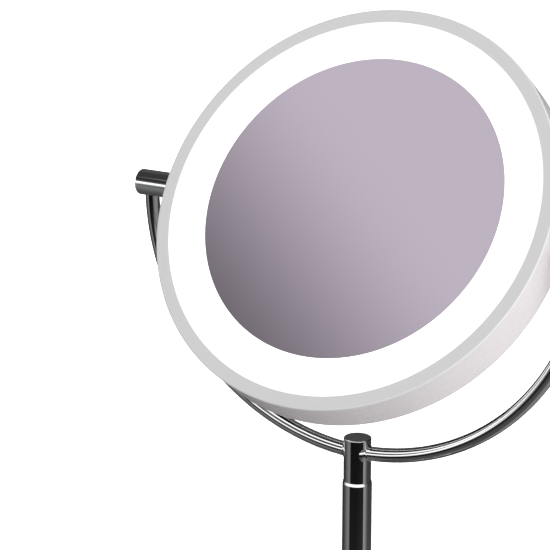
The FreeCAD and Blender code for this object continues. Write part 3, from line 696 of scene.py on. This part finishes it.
def make_camera():
    back = direction(CAMERA_AZIMUTH, CAMERA_ELEVATION)
    right = Vector((math.cos(math.radians(CAMERA_AZIMUTH)), math.sin(math.radians(CAMERA_AZIMUTH)), 0))
    up = back.cross(right)
    target = PIVOT + right * TARGET_RIGHT + up * TARGET_UP
    data = bpy.data.cameras.new("product_camera")
    data.lens = CAMERA_LENS
    data.sensor_width = 36.0
    data.clip_end = 100.0
    camera = add("product_camera", data)
    camera.location = target + back * CAMERA_DISTANCE
    camera.rotation_euler = back.to_track_quat("Z", "Y").to_euler()
    bpy.context.scene.camera = camera


def area_light(name, azimuth, elevation, distance, size, power):
    """Soft light that faces the pivot and shows neither to the camera nor in reflections."""
    data = bpy.data.lights.new(name, "AREA")
    data.shape = "RECTANGLE"
    data.size, data.size_y = size
    data.energy = power
    light = add(name, data)
    light.location = PIVOT + direction(azimuth, elevation) * distance
    light.rotation_euler = (PIVOT - light.location).to_track_quat("-Z", "Y").to_euler()
    light.visible_camera = False
    light.visible_glossy = False


def new_tree(tree):
    tree.nodes.clear()
    return tree.nodes, tree.links


def card_glow():
    """Light that the card gives off, which grows along its slant."""
    material = bpy.data.materials.new("card_glow")
    material.use_nodes = True
    nodes, links = new_tree(material.node_tree)
    place = nodes.new("ShaderNodeTexCoord")
    along = nodes.new("ShaderNodeVectorMath")
    along.operation = "DOT_PRODUCT"
    slant = math.radians(CARD_SLANT)
    along.inputs[1].default_value = (math.cos(slant), math.sin(slant), 0)
    ramp = nodes.new("ShaderNodeMapRange")
    ramp.interpolation_type = "SMOOTHSTEP"
    ramp.inputs["From Min"].default_value = CARD_FADE[0]
    ramp.inputs["From Max"].default_value = CARD_FADE[1]
    ramp.inputs["To Min"].default_value = CARD_GREYS[0]
    ramp.inputs["To Max"].default_value = CARD_GREYS[1]
    glow = nodes.new("ShaderNodeEmission")
    glow.inputs["Color"].default_value = CARD_TINT
    out = nodes.new("ShaderNodeOutputMaterial")
    links.new(place.outputs["Object"], along.inputs[0])
    links.new(along.outputs["Value"], ramp.inputs["Value"])
    links.new(ramp.outputs["Result"], glow.inputs["Strength"])
    links.new(glow.outputs[0], out.inputs["Surface"])
    return material


def make_card():
    """Graduated card that the mirror glass shows in the product view."""
    view = -direction(CAMERA_AZIMUTH, CAMERA_ELEVATION)
    bounce = view - 2 * view.dot(HEAD_FRONT) * HEAD_FRONT
    across = Vector((0, 0, 1)).cross(-bounce).normalized()
    upward = (-bounce).cross(across)
    builder = bmesh.new()
    bmesh.ops.create_grid(builder, x_segments=8, y_segments=8, size=CARD_HALF_SIZE)
    bmesh.ops.translate(builder, verts=builder.verts, vec=CARD_SHIFT)
    card = add("reflection_card", to_mesh("reflection_card", builder))
    turn = Matrix((across, upward, -bounce)).transposed().to_4x4()
    card.matrix_world = Matrix.Translation(PIVOT + bounce * CARD_DISTANCE) @ turn
    card.data.materials.append(card_glow())
    card.visible_camera = False
    card.visible_diffuse = False
    card.visible_shadow = False


def pale_floor():
    material = bpy.data.materials.new("pale_floor")
    material.use_nodes = True
    shader = material.node_tree.nodes["Principled BSDF"]
    shader.inputs["Base Color"].default_value = (0.9, 0.9, 0.9, 1)
    shader.inputs["Roughness"].default_value = 0.9
    shader.inputs["Specular IOR Level"].default_value = 0.0
    shader.inputs["Emission Color"].default_value = (1, 1, 1, 1)
    shader.inputs["Emission Strength"].default_value = FLOOR_GLOW
    return material


def make_floor():
    """White table top that only the camera sees, so that the metal shows the room and not the table."""
    builder = bmesh.new()
    bmesh.ops.create_circle(builder, cap_ends=True, radius=FLOOR_RADIUS, segments=96)
    floor = add("studio_floor", to_mesh("studio_floor", builder))
    floor.data.materials.append(pale_floor())
    floor.visible_diffuse = False
    floor.visible_glossy = False


class Wiring:
    """Short calls for the sums in the world's node tree."""

    def __init__(self, tree):
        self.nodes, self.links = new_tree(tree)

    def feed(self, socket, value):
        if isinstance(value, (int, float)):
            socket.default_value = value
        else:
            self.links.new(value, socket)

    def maths(self, operation, first, second=0.0):
        node = self.nodes.new("ShaderNodeMath")
        node.operation = operation
        self.feed(node.inputs[0], first)
        self.feed(node.inputs[1], second)
        return node.outputs[0]

    def step(self, value, start, end, low=0.0, high=1.0):
        """Smooth change from low, where the value is start, to high, where it is end."""
        node = self.nodes.new("ShaderNodeMapRange")
        node.interpolation_type = "SMOOTHSTEP"
        self.feed(node.inputs["Value"], value)
        node.inputs["From Min"].default_value = start
        node.inputs["From Max"].default_value = end
        node.inputs["To Min"].default_value = low
        node.inputs["To Max"].default_value = high
        return node.outputs["Result"]

    def chain(self, operation, values):
        result = values[0]
        for value in values[1:]:
            result = self.maths(operation, result, value)
        return result

    def product(self, *values):
        return self.chain("MULTIPLY", values)

    def total(self, *values):
        return self.chain("ADD", values)


def room_glow(wires, place):
    """Brightness of the room that the metal shows, by direction.

    Rise is the sine of the elevation, and degrees is the azimuth, 0 at the front and 90 at the right.
    """
    split = wires.nodes.new("ShaderNodeSeparateXYZ")
    wires.links.new(place, split.inputs[0])
    rise = split.outputs["Z"]
    azimuth = wires.maths("ARCTAN2", split.outputs["X"], wires.maths("MULTIPLY", split.outputs["Y"], -1.0))
    degrees = wires.maths("MULTIPLY", azimuth, 180 / math.pi)
    low_side = wires.product(wires.step(rise, 0.10, -0.02), wires.step(rise, -0.9, -0.2, 0.15, 1.0))
    left = wires.product(low_side, wires.step(degrees, -29, -36), wires.step(degrees, -100, -38, *LEFT_PANEL))
    right = wires.product(low_side, wires.step(degrees, 77, 81), wires.step(degrees, 80, 125, *RIGHT_PANEL))
    strip = wires.product(
        wires.step(rise, -0.16, 0.08),
        wires.step(rise, 0.26, 0.18),
        wires.step(degrees, -110, -80),
        wires.step(degrees, 100, 70),
        STRIP_GLOW,
    )
    halo = wires.product(
        wires.step(rise, -0.25, 0.12),
        wires.step(rise, 0.55, 0.18),
        wires.step(degrees, -120, -60),
        wires.step(degrees, 120, 60),
        HALO_GLOW,
    )
    behind = wires.product(wires.step(rise, 0.10, 0.25), wires.step(degrees, -110, -140), BEHIND_GLOW)
    upper = wires.step(rise, 0.2, 0.8, 0.0, UPPER_GLOW)
    table = wires.product(wires.step(rise, -0.30, -0.7), wires.step(degrees, 20, 80, *TABLE_GLOW))
    window = wires.product(
        wires.step(rise, 0.30, 0.55),
        wires.step(degrees, -25, 5),
        wires.step(degrees, 130, 90),
        WINDOW_GLOW,
    )
    return wires.total(ROOM_DARK, left, right, strip, halo, behind, upper, table, window)


def fill_glow(wires, place):
    """Brightness of the light on matt surfaces, which grows to the right and to the head's front."""
    lean = wires.nodes.new("ShaderNodeVectorMath")
    lean.operation = "DOT_PRODUCT"
    lean.inputs[1].default_value = Vector((FILL_RIGHT, 0, 0)) + HEAD_FRONT * FILL_FRONT
    wires.links.new(place, lean.inputs[0])
    return wires.maths("MAXIMUM", wires.total(FILL_LEVEL, lean.outputs["Value"]), FILL_LEAST)


def make_world():
    """White for the camera, the fill for matt surfaces, and the darker room for reflections."""
    world = bpy.data.worlds.new("studio")
    bpy.context.scene.world = world
    world.use_nodes = True
    wires = Wiring(world.node_tree)
    nodes, links = wires.nodes, wires.links
    place = nodes.new("ShaderNodeTexCoord").outputs["Generated"]
    path = nodes.new("ShaderNodeLightPath")
    room = nodes.new("ShaderNodeBackground")
    fill = nodes.new("ShaderNodeBackground")
    white = nodes.new("ShaderNodeBackground")
    wires.feed(room.inputs["Strength"], room_glow(wires, place))
    wires.feed(fill.inputs["Strength"], fill_glow(wires, place))
    white.inputs["Strength"].default_value = BACKDROP_GLOW
    soft = nodes.new("ShaderNodeMixShader")
    seen = nodes.new("ShaderNodeMixShader")
    out = nodes.new("ShaderNodeOutputWorld")
    links.new(path.outputs["Is Diffuse Ray"], soft.inputs[0])
    links.new(room.outputs[0], soft.inputs[1])
    links.new(fill.outputs[0], soft.inputs[2])
    links.new(path.outputs["Is Camera Ray"], seen.inputs[0])
    links.new(soft.outputs[0], seen.inputs[1])
    links.new(white.outputs[0], seen.inputs[2])
    links.new(seen.outputs[0], out.inputs["Surface"])


def make_studio():
    make_floor()
    make_world()
    make_card()
    make_camera()
    for light in LIGHTS:
        area_light(*light)
    bpy.context.scene.view_settings.view_transform = "Standard"


dress_cad_nodes()
make_dome()
make_feet()
make_stem()
make_collar()
make_yoke()
make_head()
make_button()
make_studio()
